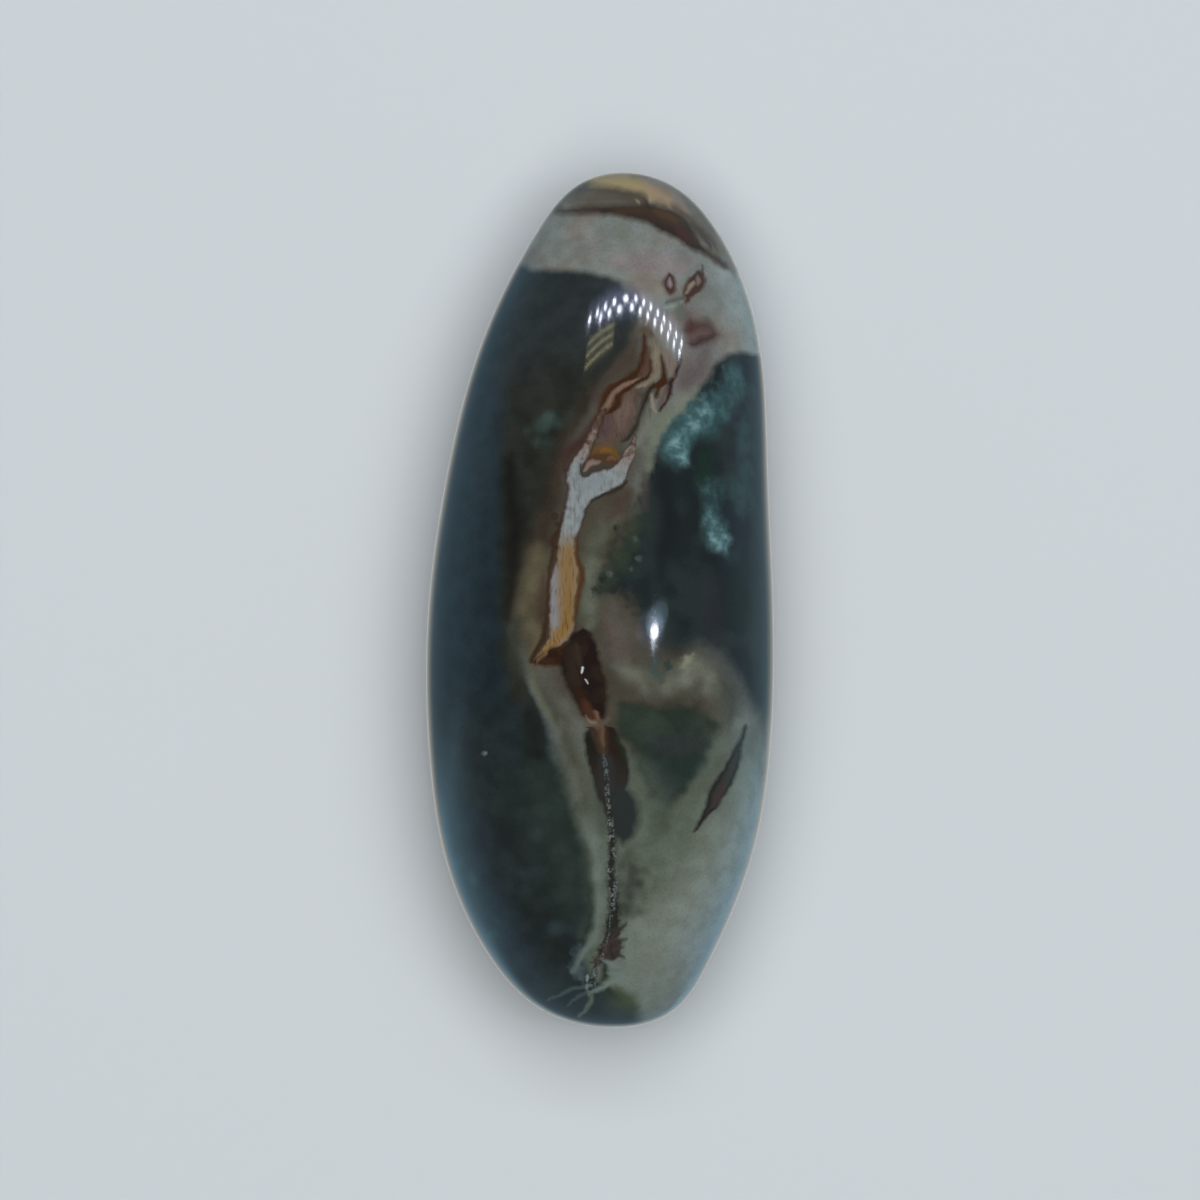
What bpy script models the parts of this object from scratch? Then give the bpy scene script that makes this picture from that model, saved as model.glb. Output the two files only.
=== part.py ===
"""Polished freeform of polychrome jasper.

The real thing is one piece of stone, cut and tumbled to a long pebble and polished all over.
It lies on a small flat that is ground across the middle of its back.
X runs across the stone, Y from its blunt foot to its narrow head, and Z up from the flat.
"""

import math

import bmesh
import bpy
import numpy as np
from mathutils import Matrix, Vector, noise

LENGTH = 0.140
WIDTH = 0.057
HEIGHT = 0.042
GROUND_OFF = 0.0012

# Stations run from the foot at -1 to the head at 1, as shares of half the length.
# Fullness is the stone's breadth over that of a plain ellipse of the same length and width.
FULLNESS = (
    (-1.0, 1.471),
    (-0.93, 1.265),
    (-0.75, 1.124),
    (-0.4, 1.057),
    (0.0, 0.991),
    (0.4, 0.971),
    (0.75, 1.012),
    (0.93, 1.079),
    (1.0, 1.198),
)
# Drift is how far the middle line leans to +X, in metres.
DRIFT = (
    (-1.0, 0.0021),
    (-0.93, 0.0010),
    (-0.75, -0.0002),
    (-0.4, 0.0),
    (0.0, 0.0002),
    (0.4, 0.0019),
    (0.75, 0.0042),
    (0.93, 0.0043),
    (1.0, 0.0038),
)
# Depth is the stone's thickness over that of a plain ellipse.
DEPTH = ((-1.0, 1.34), (-0.6, 1.08), (-0.1, 1.0), (0.5, 0.95), (1.0, 1.06))

SECTION_POWER = 2.25     # 2 is an ellipse; above it the section is fuller at its shoulders
RIDGE_LEAN = 0.06        # how much higher the crown stands on the +X side of the middle
WOBBLE = 0.00025         # height of the broad, soft unevenness that hand grinding leaves
WOBBLE_LENGTH = 0.030    # and the distance over which it rises and falls
BALL_SUBDIVISIONS = 5    # 5120 faces before the flat is cut


def clear_scene():
    for obj in list(bpy.data.objects):
        bpy.data.objects.remove(obj)


def smooth_line(stations):
    """The one smooth polynomial through all stations, so that no crease shows in the polish."""
    places, values = zip(*stations)
    return np.polynomial.Polynomial.fit(places, values, len(stations) - 1, domain=[-1, 1])


fullness = smooth_line(FULLNESS)
drift = smooth_line(DRIFT)
depth = smooth_line(DEPTH)


def on_stone(ball):
    """Moves a point of the unit ball to the stone's surface, with the ball's +Y at the head."""
    across, along, up = ball
    section = max(math.hypot(across, up), 1e-9)
    shoulder = section / (abs(across) ** SECTION_POWER + abs(up) ** SECTION_POWER) ** (1 / SECTION_POWER)
    half_width = WIDTH / 2 * fullness(along) * shoulder
    half_depth = (HEIGHT + GROUND_OFF) / 2 * depth(along) * shoulder
    crown = 1 + RIDGE_LEAN * across * max(up, 0.0)
    point = Vector(
        (
            drift(along) + half_width * across,
            LENGTH / 2 * along,
            (HEIGHT - GROUND_OFF) / 2 + half_depth * up * crown,
        )
    )
    return point + Vector(ball) * WOBBLE * noise.noise(point / WOBBLE_LENGTH)


def grind_flat(bm):
    """Cuts the back off level at Z 0 and closes the cut with the resting flat."""
    bmesh.ops.bisect_plane(
        bm,
        geom=bm.verts[:] + bm.edges[:] + bm.faces[:],
        dist=1e-6,
        plane_co=(0, 0, 0),
        plane_no=(0, 0, 1),
        clear_inner=True,
    )
    rim = [edge for edge in bm.edges if edge.is_boundary]
    bmesh.ops.contextual_create(bm, geom=rim)
    for edge in rim:
        edge.smooth = False


def centre(bm):
    """Puts the origin under the middle of the stone's own box."""
    for axis in range(2):
        places = [vert.co[axis] for vert in bm.verts]
        middle = (min(places) + max(places)) / 2
        for vert in bm.verts:
            vert.co[axis] -= middle


def jasper_material():
    material = bpy.data.materials.new("polished_jasper")
    material.use_nodes = True
    shader = material.node_tree.nodes["Principled BSDF"]
    shader.inputs["Base Color"].default_value = (0.040, 0.056, 0.054, 1.0)
    shader.inputs["Roughness"].default_value = 0.08
    shader.inputs["Metallic"].default_value = 0.0
    return material


def make_stone():
    bm = bmesh.new()
    bmesh.ops.create_icosphere(bm, subdivisions=BALL_SUBDIVISIONS, radius=1.0)
    head_up = Matrix.Rotation(math.radians(-90), 3, "X")
    bmesh.ops.rotate(bm, cent=(0, 0, 0), matrix=head_up, verts=bm.verts)
    for vert in bm.verts:
        vert.co = on_stone(vert.co)
    grind_flat(bm)
    centre(bm)
    bmesh.ops.recalc_face_normals(bm, faces=bm.faces)
    mesh = bpy.data.meshes.new("stone")
    bm.to_mesh(mesh)
    bm.free()
    for face in mesh.polygons:
        face.use_smooth = True
    mesh.materials.append(jasper_material())
    stone = bpy.data.objects.new("stone", mesh)
    bpy.context.collection.objects.link(stone)
    return stone


clear_scene()
make_stone()
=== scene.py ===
import math
from types import SimpleNamespace

import bmesh
import bpy
import numpy as np
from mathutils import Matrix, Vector, noise


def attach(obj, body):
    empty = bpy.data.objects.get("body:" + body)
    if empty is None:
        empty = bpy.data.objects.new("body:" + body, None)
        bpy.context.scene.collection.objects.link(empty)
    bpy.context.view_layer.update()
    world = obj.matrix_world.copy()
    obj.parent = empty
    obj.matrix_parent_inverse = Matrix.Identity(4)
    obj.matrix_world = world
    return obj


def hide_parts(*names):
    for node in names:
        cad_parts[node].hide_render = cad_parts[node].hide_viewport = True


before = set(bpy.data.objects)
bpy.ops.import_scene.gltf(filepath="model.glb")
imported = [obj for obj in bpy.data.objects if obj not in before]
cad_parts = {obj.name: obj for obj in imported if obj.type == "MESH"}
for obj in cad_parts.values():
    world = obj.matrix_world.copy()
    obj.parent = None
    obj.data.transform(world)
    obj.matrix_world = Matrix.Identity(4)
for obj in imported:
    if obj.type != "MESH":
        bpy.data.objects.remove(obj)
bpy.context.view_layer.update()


# The stone's body. One piece of jasper and chalcedony, sawn from the rough, ground to a long pebble on
# wet wheels and tumbled smooth. It lies on a small flat across the middle of its back.

LENGTH = 0.140
WIDTH = 0.057
HEIGHT = 0.042
GROUND_OFF = 0.0012

# Stations run from the foot at -1 to the head at 1, as shares of half the length.
# FULLNESS and DEPTH are shares of an ellipsoid's width and depth. DRIFT is how far the middle moves in x.
FULLNESS = ((-1, 1.471), (-0.93, 1.265), (-0.75, 1.124), (-0.4, 1.057), (0, 0.991), (0.4, 0.971),
    (0.75, 1.012), (0.93, 1.079), (1, 1.198))
DRIFT = ((-1, 0.0021), (-0.93, 0.0010), (-0.75, -0.0002), (-0.4, 0), (0, 0.0002), (0.4, 0.0019),
    (0.75, 0.0042), (0.93, 0.0043), (1, 0.0038))
DEPTH = ((-1, 1.34), (-0.6, 1.08), (-0.1, 1), (0.5, 0.95), (1, 1.06))
SECTION_POWER = 2.25     # an ellipse has 2, so the section is a little square
RIDGE_LEAN = 0.06        # how much higher the top is on its right
WOBBLE = 0.00025         # how far the grinding strays from the smooth form, and
WOBBLE_LENGTH = 0.030    # over what length
AROUND = 280             # faces round the stone, and
RINGS = 330              # from head to foot, so fine that the mirror polish shows no facet
SEAM = 1e-7              # points this near are one


def smooth_line(stations):
    """The one smooth polynomial through all stations, so that no crease shows in the polish."""
    places, values = zip(*stations)
    return np.polynomial.Polynomial.fit(places, values, len(stations) - 1, domain=[-1, 1])


fullness = smooth_line(FULLNESS)
drift = smooth_line(DRIFT)
depth = smooth_line(DEPTH)


def on_stone(ball):
    """Moves points of the unit ball to the stone's surface, with the ball's +Y at the head."""
    across, along, up = ball.T
    section = (abs(across) ** SECTION_POWER + abs(up) ** SECTION_POWER) ** (1 / SECTION_POWER)
    shoulder = np.hypot(across, up) / np.maximum(section, 1e-9)
    half_width = WIDTH / 2 * fullness(along) * shoulder
    half_depth = (HEIGHT + GROUND_OFF) / 2 * depth(along) * shoulder
    crown = 1 + RIDGE_LEAN * across * np.maximum(up, 0.0)
    x = drift(along) + half_width * across
    z = (HEIGHT - GROUND_OFF) / 2 + half_depth * up * crown
    points = np.stack([x, LENGTH / 2 * along, z], axis=1)
    wobble = np.array([noise.noise(point) for point in (points / WOBBLE_LENGTH).tolist()])
    return points + WOBBLE * wobble[:, None] * ball


# A sheet is rolled round into the ball, and its ends are drawn together at the head and the foot.
bm = bmesh.new()
bmesh.ops.create_grid(bm, x_segments=AROUND, y_segments=RINGS, size=1.0)
roll, climb, _ = (np.array([vert.co for vert in bm.verts]) * (math.pi, math.pi / 2, 0)).T
ball = np.stack([np.cos(climb) * np.cos(roll), np.sin(climb), np.cos(climb) * np.sin(roll)], axis=1)
for vert, place in zip(bm.verts, on_stone(ball)):
    vert.co = place
bmesh.ops.remove_doubles(bm, verts=bm.verts, dist=SEAM)
geometry = bm.verts[:] + bm.edges[:] + bm.faces[:]
bmesh.ops.bisect_plane(bm, geom=geometry, dist=1e-6, plane_co=(0, 0, 0), plane_no=(0, 0, 1),
    clear_inner=True)
rim = [edge for edge in bm.edges if edge.is_boundary]
bmesh.ops.contextual_create(bm, geom=rim)
for edge in rim:
    edge.smooth = False
for axis in range(2):
    places = [vert.co[axis] for vert in bm.verts]
    middle = (min(places) + max(places)) / 2
    for vert in bm.verts:
        vert.co[axis] -= middle
bmesh.ops.recalc_face_normals(bm, faces=bm.faces)
mesh = bpy.data.meshes.new("jasper_stone")
bm.to_mesh(mesh)
bm.free()
mesh.polygons.foreach_set("use_smooth", [True] * len(mesh.polygons))
stone = bpy.data.objects.new("jasper_stone", mesh)
bpy.context.collection.objects.link(stone)
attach(stone, "root")
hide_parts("stone")


# Grey chalcedony, the ground of the stone. Silica gel that set in the hollow of the rock, cloudy and
# faintly see-through, so its tints blend over millimetres. All places below are millimetres from the
# stone's middle, X across and Y to the head. The soft tints are laid on the mesh's own points.

MM = 1000.0              # millimetres in a scene unit
FADE = 6.0               # mm past its end over which a band fades, more than any blur
DIP_FROM = 26.0          # height below which the layers dip, so that the back cuts other parts of them
DIP = (0.42, -0.30)      # mm that the layers shift for each mm down
SWIRL_LENGTH = 26.0      # distance over which they swirl one way
SWIRL = 0.9              # mm of swirl for each mm down
WANDER_SEED = 6          # start of the random steps, fixed so that each run gives the same stone

noise.seed_set(WANDER_SEED)
spots = np.empty(len(mesh.vertices) * 3)
mesh.vertices.foreach_get("co", spots)
spots = spots.reshape(-1, 3) * MM


def wander(size):
    """A smooth random step at each point, one way over `size` mm."""
    return np.array([noise.noise_vector(spot) for spot in (spots / size).tolist()])[:, :2]


def cloudy(size):
    """A smooth random value at each point, from about -0.5 to 0.5, one way over `size` mm."""
    return np.array([noise.noise(spot) for spot in (spots / size).tolist()])


down = np.maximum(DIP_FROM - spots[:, 2:], 0.0)
layered = spots[:, :2] + down * (np.array(DIP) + SWIRL * wander(SWIRL_LENGTH))
plan = layered + wander(7.0) + 0.3 * wander(2.2)
clouds = cloudy(6.0) + 0.5 * cloudy(2.8)
motes = cloudy(1.6)


def tint(hex_code):
    """An sRGB hex colour as the linear colour that a socket takes."""
    parts = [int(hex_code[i:i + 2], 16) / 255 for i in (1, 3, 5)]
    return (*[part / 12.92 if part <= 0.04045 else ((part + 0.055) / 1.055) ** 2.4 for part in parts], 1.0)


def heading(line):
    """The way that a line of points runs from first to last, and the way to its right."""
    ahead = (Vector(line[-1][:2]) - Vector(line[0][:2])).normalized()
    return ahead, Vector((ahead.y, -ahead.x))


def stretched(line, ahead, cap=None):
    """A band's line, its ends run out until nothing is left of it, and half-widths square to `ahead`."""
    ends = []
    for outer, inner in ((line[0], line[1]), (line[-1], line[-2])):
        end = Vector(outer[:2])
        out = (end - Vector(inner[:2])).normalized()
        reach = max(outer[2], 0.1) if cap is None else cap
        ends.append([(*(end + out * reach), 0.0), (*(end + out * (reach + FADE)), -FADE)])
    line = [*ends[0][::-1], *line, *ends[1]]
    spine = [Vector(point[:2]) for point in line]
    halves = []
    for i, (x, y, half) in enumerate(line):
        lean = (spine[min(i + 1, len(spine) - 1)] - spine[max(i - 1, 0)]).normalized().dot(ahead)
        halves.append(half / max(abs(lean), 0.3) if half > 0 else half)
    return spine, halves


def off_spine(spine, ahead, right):
    """How far each point lies ahead and to the right of a line's spine, and the spine's own steps ahead."""
    along = plan @ ahead
    steps = [spot.dot(ahead) for spot in spine]
    off = plan @ right - np.interp(along, steps, [spot.dot(right) for spot in spine])
    return along, off, steps


def beside(line):
    """How many mm each point lies to the right of a line, walking it from first to last.

    The line may give a third number, the blur there: the answer is then a share of that blur.
    """
    along, off, steps = off_spine([Vector(point[:2]) for point in line], *heading(line))
    if len(line[0]) == 2:
        return off
    return off / np.interp(along, steps, [point[2] for point in line])


def band(line):
    """How many mm each point lies inside a band with round ends. The line gives x, y and half the width."""
    ahead, right = heading(line)
    spine, halves = stretched(line, ahead)
    along, off, steps = off_spine(spine, ahead, right)
    return np.interp(along, steps, halves) - abs(off)


def patch(x, y, radius):
    """How many mm each point lies inside a round patch."""
    return radius - np.hypot(*(plan - (x, y)).T)


def lay(paint, shade, inside, blur, strength=1.0):
    """Lays a shade over a paint where `inside` is above zero, with an edge blurred over `blur` mm."""
    share = np.clip((inside / blur + 1) / 2, 0, 1)
    share = strength * share * share * (3 - 2 * share)
    paint += (np.array(tint(shade)[:3]) - paint) * share[:, None]


def lay_each(paints, layers):
    """Lays each of the layers, given as shade, blur, strength and inside, over each of the paints."""
    for shade, blur, strength, inside in layers:
        for paint in paints:
            lay(paint, shade, inside, blur, strength)


def paint_of(shade):
    """A paint, one linear colour for each point of the mesh."""
    return np.tile(tint(shade)[:3], (len(spots), 1))


grey = paint_of("#787d77")
lay(grey, "#7d786f", np.minimum(9 * clouds, beside([(-30, 38), (30, 36)]) * -1), 2.5)
lay(grey, "#6e7470", 9 * cloudy(9.0) - 1.5, 2.5, 0.7)
lay_each((grey,), (
    # the head
    ("#83797a", 2.2, 1.0, band([(2.5, 54.8, 0.6), (8, 54, 1.2), (13.5, 54.6, 1.2)])),
    ("#605857", 3.0, 1.0, band([(13, 48, 1.5), (17, 40, 2.5), (14, 35, 2.5)])),
    ("#8f9a97", 3.0, 1.0, -beside([(16.5, 60), (20.5, 50), (24.5, 38)])),
    ("#838680", 1.2, 1.0, patch(-1.7, 59.3, 0.4)),
    ("#857b75", 1.2, 1.0, patch(7.3, 56, 0.5)),
    ("#777067", 1.4, 1.0, patch(-4.2, 60, 0.8)),
    ("#7e827c", 1.2, 1.0, patch(-5.6, 56.6, 0.4)),
    ("#70786b", 1.2, 1.0, patch(4, 59, 0.6)),
    # the haze beside the vein, and the paler foot
    ("#443f34", 5.0, 1.0, band([(5, 46, 3), (3, 33, 6), (-2, 18, 9), (0, 0, 13), (4, -12, 14), (8, -19, 12),
        (7, -26, 8)])),
    ("#565e51", 5.0, 1.0, -beside([(30, -19), (14, -22), (0, -24), (-12, -25)])),
    ("#767e74", 5.5, 1.0, -beside([(32, -20), (22, -30), (14, -42), (5, -53), (0, -66)])),
    ("#76848a", 6.0, 1.0, -beside([(31, -22), (25.5, -35), (22, -46), (16, -56), (12, -68)])),
    ("#3b4038", 2.4, 1.0, band([(5, -42, 0.8), (5.2, -46.5, 2), (4.6, -50.5, 1.2)]) + 3 * motes),
    ("#6c746b", 4.0, 1.0, band([(2, -66, 2), (10, -62, 2.5)])),
))


# Green jasper, left. Quartz packed with moss-like chlorite: slate green outside, olive-black within.

slate = paint_of("#212725")
lay(slate, "#252c2b", 9 * clouds, 2.5)
lay(slate, "#323836", beside([(-30, 12), (0, 18)]) * -1, 12.0, 0.8)
core = beside([(-8.5, 56, 2.2), (-9.9, 53, 2), (-12, 49, 2), (-13.4, 44.9, 2), (-14.4, 40.5, 1.8),
    (-15.2, 36.2, 1.6), (-15.7, 30, 1.4), (-16, 24.6, 1.1), (-15.9, 18, 1), (-16, 13, 1), (-16.2, 0.2, 1.2),
    (-15.6, -9, 1.8), (-14.5, -18, 2.6)])
core_foot = beside([(-22, -15, 5), (0, -20, 5)])
core = np.minimum(-core, -core_foot)
teal_rim = band([(-9, 56, 1), (-12.5, 51.5, 1.5), (-15.8, 46, 1.3), (-18.6, 38.5, 1.2), (-20.8, 29, 1.2),
    (-22.8, 19.5, 1.3), (-24.4, 8, 1.3), (-25.6, -6, 1.2)])
lay_each((slate,), (
    ("#2a2f33", 2.4, 1.0, band([(-4, 51, 1.5), (-7, 46.5, 1.8), (-10.5, 41, 1.6), (-13, 35, 1)])),
    ("#26383b", 2.4, 1.0, teal_rim + 1.5 * motes),
    ("#2a2f30", 1.4, 0.8, band([(-10.6, 50.5, 0.5), (-13.9, 42.5, 0.9), (-16, 34.7, 1), (-16.6, 28.6, 1.1),
        (-17.4, 21.2, 0.9), (-19.5, 8.2, 0.6)])),
    ("#3c4645", 2.4, 0.8, band([(-17.6, 45, 0.8), (-14.2, 50, 1.4), (-10.6, 53.4, 1.2)])),
    ("#2f4044", 1.6, 0.7, band([(-22.4, 27, 0.6), (-21.8, 22.5, 1.2), (-22.6, 18, 0.7)]) + 1.5 * motes),
    ("#1d2a31", 9.0, 0.7, -beside([(-30, -16), (-16, -20), (-6, -28)])),
    ("#26303a", 3.0, 0.6, band([(-21, -34, 1), (-17.6, -47, 1.8), (-12, -60, 1.6)])),
    ("#29332e", 3.4, 1.0, band([(-9.5, -27, 2), (-8.4, -33, 3.2), (-6.4, -41, 3), (-5, -50, 1.4)])),
    # the core, with a near-black seam where it starts
    ("#292a24", 1.0, 1.0, core),
    ("#23231d", 1.0, 0.8, np.minimum(core, 9 * clouds)),
    ("#2c3233", 8.0, 0.9, np.minimum(3 * core, -beside([(-30, 36), (10, 40)]))),
    ("#15140e", 1.6, 0.9, band([(-14.6, 24, 0.4), (-14.6, 18, 1), (-14.2, 12, 1.2), (-14, 5, 1),
        (-14.2, -3, 0.6)])),
    ("#2a2c21", 2.0, 0.9, patch(-12.9, -14.4, 1.4)),
    ("#1b1e19", 2.0, 1.0, band([(-11.6, -18, 1.2), (-11, -20.5, 1.8), (-9.8, -25, 1.6)])),
    # teal smears and paler clots
    ("#303e39", 1.0, 1.0, band([(-12.6, 27.2, 0.2), (-11, 27.8, 0.6), (-9.2, 28.3, 0.9), (-7.6, 28.8, 0.8),
        (-6.1, 29.4, 0.4), (-5, 30.1, 0.2)]) + 1.5 * motes),
    ("#3e4d46", 1.0, 0.7, patch(-8.2, 29, 0.4) + motes),
    ("#30403a", 0.9, 0.8, band([(-10.5, 25.7, 0.2), (-8.9, 25.2, 0.4), (-7.3, 25.4, 0.2)]) + motes),
    ("#2c3530", 1.0, 0.8, patch(-3.6, 38.6, 0.8) + motes),
    ("#2f3534", 1.2, 0.8, patch(-9.8, -37.6, 1.5) + motes),
    ("#2a3233", 1.2, 0.8, patch(-11, -44.9, 1.4) + motes),
    ("#2e3a3d", 1.0, 0.8, patch(-7.3, -53.3, 0.9) + motes),
    ("#33534f", 1.0, 0.7, patch(-23.6, -42.4, 0.7) + motes),
    ("#2f4746", 1.0, 0.7, patch(-21.1, -45.2, 0.6) + motes),
    ("#2d4444", 1.0, 0.7, patch(-17.9, -54.2, 0.7) + motes),
))

# Its edges, as shares of the blur: the top is crisp, the flank beside the vein melts into brown, and the
# foot is firmer again.
left_top = beside([(-26, 54), (-14.8, 54.9), (-9.8, 53.7), (-3.3, 53), (1.6, 51.8), (4, 50.8), (6.4, 49.3),
    (9, 45)])
left_side = beside([(8.5, 50.5, 1.2), (6.9, 46.9, 1.1), (5.1, 42.8, 1), (3.6, 38.8, 0.9), (1.6, 36.5, 0.8),
    (-0.3, 33.9, 0.8), (-2, 31.5, 0.8), (-3.5, 29.1, 0.8), (-4.9, 25.9, 0.8), (-6.2, 22.4, 0.9),
    (-7.2, 18.5, 1.2), (-8.2, 14.5, 1.6), (-9.4, 10, 2), (-10.8, 5, 2.4), (-12, 0, 2.6), (-13.1, -5, 2.4),
    (-12.6, -9.5, 1.6), (-11.4, -12.6, 1), (-10.2, -15.9, 0.9), (-8.1, -20.7, 1.3), (-7, -24.7, 1.9),
    (-5.9, -27.9, 2.2), (-4.8, -31.1, 2.1), (-3.6, -35.1, 1.8), (-2.2, -38.3, 1.4), (-1.7, -42.4, 1.2),
    (-1.3, -47.2, 1), (-1, -50.5, 0.9), (-1.5, -53.6, 0.7), (-2.5, -55.8, 0.7), (-2.9, -57.4, 0.8),
    (-2.4, -59.2, 0.9), (-1.5, -60.8, 0.9), (-0.2, -61.8, 1), (2, -62.6, 1.3), (4.4, -64.4, 1.8),
    (6.4, -67, 2), (8.5, -71, 2)])
slate_edge = np.minimum(left_top, left_side)


# The brown halo. Iron that crept out of the vein into the green jasper, strongest along its left side.

halo_high = band([(-1.5, 34.2, 0.3), (-4.2, 29.4, 0.6), (-5.8, 25, 0.8), (-7.2, 20.5, 1), (-8.2, 15.5, 1.3),
    (-9.2, 10.5, 1.7), (-10, 6, 2.2)])
halo_low = band([(-9.7, 8, 1.4), (-10.6, 3, 2.2), (-11, -2, 2.4), (-11, -6.5, 1.8), (-10.4, -10.5, 0.8)])
lay_each((grey, slate), (
    ("#372e25", 1.6, 1.0, halo_high),
    ("#4f4837", 2.0, 1.0, halo_low),
    ("#5a5340", 1.6, 1.0, np.minimum(halo_low - 0.4, 9 * clouds)),
    ("#402f24", 1.0, 0.8, band([(-9, 3.5, 0.6), (-9.2, 0, 0.9), (-9.4, -3, 0.6)])),
    ("#33342a", 1.6, 0.8, band([(-13.6, -3, 0.8), (-13.7, -8.7, 1.2), (-12.2, -12.5, 0.6)])),
    ("#343b30", 1.6, 0.8, band([(0.2, -63.6, 0.8), (2, -65.4, 1.6), (4.2, -67.4, 1.4)])),
    ("#3f4728", 1.6, 1.0, band([(3, -62.8, 0.5), (4.4, -64.8, 1.4), (5.4, -66.4, 0.9)])),
    ("#38443a", 1.0, 0.7, band([(-2.7, -38, 0.4), (-2.2, -43, 0.6), (-2.2, -50, 0.6), (-3.2, -55, 0.5)])),
))


# The pale wedge. Clear grey-green chalcedony between the green jasper and the dark pods, down to the foot.

wedge = band([(-10.4, -11.2, 0.2), (-8.6, -15, 1), (-6.6, -19, 1.6), (-5.1, -24, 1.7), (-3.3, -29, 1.2),
    (-1.5, -35, 0.9), (-0.5, -41, 0.9), (-0.2, -49, 0.8), (-0.8, -54, 0.5)])
low_wedge = -beside([(6, -36), (-12, -37)])
lay_each((grey,), (
    ("#45463b", 1.6, 1.0, wedge),
    ("#4e4f43", 1.6, 1.0, np.minimum(wedge - 0.5, 9 * clouds)),
    ("#68736a", 1.6, 1.0, np.minimum(wedge, low_wedge / 4)),
    ("#5f6256", 1.4, 0.9, band([(-6.2, -25.6, 0.5), (-4.8, -28.4, 1.1), (-3.8, -31, 0.7)])),
    ("#5c6146", 0.8, 0.9, band([(-10.6, -11.4, 0.15), (-9.2, -15.4, 0.3), (-8.1, -19.8, 0.15)])),
    ("#62625a", 0.9, 0.6, band([(-6.4, -19, 0.3), (-7.2, -22.5, 0.4), (-6, -26, 0.2)])),
))


# Teal jasper, right. Dark quartz with clouds of blue-green celadonite, and moss growing out of its low edge.

teal = paint_of("#1b2122")
lay(teal, "#242b2a", 9 * clouds, 2.5)
flank = -beside([(25.2, 42), (26, 20), (25.6, -10)])
lay(teal, "#32433f", flank, 2.5, 0.7)
lay(teal, "#263230", np.minimum(flank - 0.5, 9 * cloudy(11.0)), 2.5, 0.7)
cloud_top = band([(21.8, 36, 0.9), (18.9, 33.2, 1.9), (16.2, 30.4, 1.9), (14.2, 27.4, 2.3),
    (12.4, 24.6, 2.2), (12.2, 21.6, 1)]) + 3 * clouds
cloud_low = band([(17.5, 20, 0.8), (19.2, 16, 1.6), (19.3, 12, 1.9), (19.6, 9.5, 1.2),
    (21, 6, 0.6)]) + 3 * clouds
thread_high = band([(21.8, 38, 0.5), (17, 33.6, 0.7), (12.6, 28.6, 0.7), (9.8, 24.4, 0.6)]) + motes
lay(teal, "#2f4748", cloud_top + 0.4, 2.0)
lay(teal, "#2b4041", cloud_low + 0.4, 2.0, 0.85)
lay_each((teal,), (
    ("#1a2a23", 1.2, 1.0, band([(17, 24, 0.8), (17, 21, 1.3), (16, 18.5, 0.8)]) + motes),
    ("#2f4340", 1.4, 0.8, band([(23.4, 30, 0.6), (23.6, 22, 1), (23, 14, 0.7)]) + 1.5 * motes),
    ("#2c3529", 1.6, 0.9, band([(6.4, 13.6, 1), (4.6, 9.6, 1.7), (2.6, 5.6, 1.6),
        (0.6, 2.2, 0.9)]) + 2 * motes),
    ("#15191a", 1.6, 0.8, band([(10.4, 20.4, 0.5), (10.6, 14, 1.2), (10, 8, 1.2), (9.2, 3, 0.8)])),
    ("#2a2c30", 2.4, 0.8, band([(17.5, 4, 1.2), (18, -2, 1.8), (18.4, -6, 1.2)])),
    ("#18231c", 1.4, 1.0, band([(22.8, 4, 0.8), (22.9, 0, 1.3), (23, -5, 1)])),
))
moss = teal.copy()
lay(moss, "#3b5859", cloud_top, 1.8)
lay(moss, "#3a5150", cloud_low, 1.8, 0.9)
lay(moss, "#3a5050", thread_high, 1.0, 0.8)
CLOTS = ((16.2, 30.6, 1.2), (14.8, 28, 1.3), (12.3, 24.7, 1.3), (13.3, 22.6, 0.8), (19.3, 9.8, 1.8),
    (18.3, 12.8, 0.8))
for x, y, radius in CLOTS:
    clot = patch(x, y, radius) + motes
    lay(moss, "#6a8a8c", clot, 1.2)
    lay(teal, "#446264", clot, 1.2, 0.9)

right_edge = beside([(32, 40.5, 1.4), (25.2, 39.9, 1.1), (21, 39.3, 0.9), (18.5, 37.4, 0.7),
    (14.4, 32.4, 0.6), (11.2, 29, 0.6), (8.9, 25.5, 0.8), (8, 21, 1), (7.4, 17.6, 1.1), (5.2, 13.6, 1.4),
    (2.9, 9.5, 1.8), (1, 5.4, 1.8), (-0.6, 3, 1.5), (-2, -3, 1.2)])
right_foot = beside([(-4, 0.6, 1), (1.6, 1.2, 1.4), (4, 1.2, 1.8), (6, -1, 2.2), (7.4, -5, 2.4),
    (9.6, -8, 2.8), (11.2, -8.2, 3), (15.2, -7.4, 3.2), (18.4, -9.4, 3), (21.4, -13.6, 2.8),
    (24, -17.8, 2.6), (32, -23, 2.4)])
teal_edge = np.minimum(-right_edge, -right_foot)
teal_fray = 0.2 + np.clip((beside([(14, 18), (8, -6)]) + 2.0) / 6.0, 0, 1)

# The pale border that clear chalcedony leaves above it.
lay_each((grey, teal, moss), (
    ("#69705f", 0.9, 0.9, band([(15.6, 34.2, 0.2), (12.5, 31.2, 0.4), (11, 29.8, 0.8), (9.8, 28.8, 0.7),
        (8.4, 26.5, 0.5), (7.7, 23.9, 0.3), (7.7, 21.3, 0.2)]) + motes),
    ("#443d36", 0.8, 0.8, band([(7.5, 20.5, 0.3), (7.7, 17.5, 0.5), (7.2, 14.5, 0.3)])),
))


# Clear green chalcedony right of the vein, with the hazy brown pocket under the teal jasper.

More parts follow.
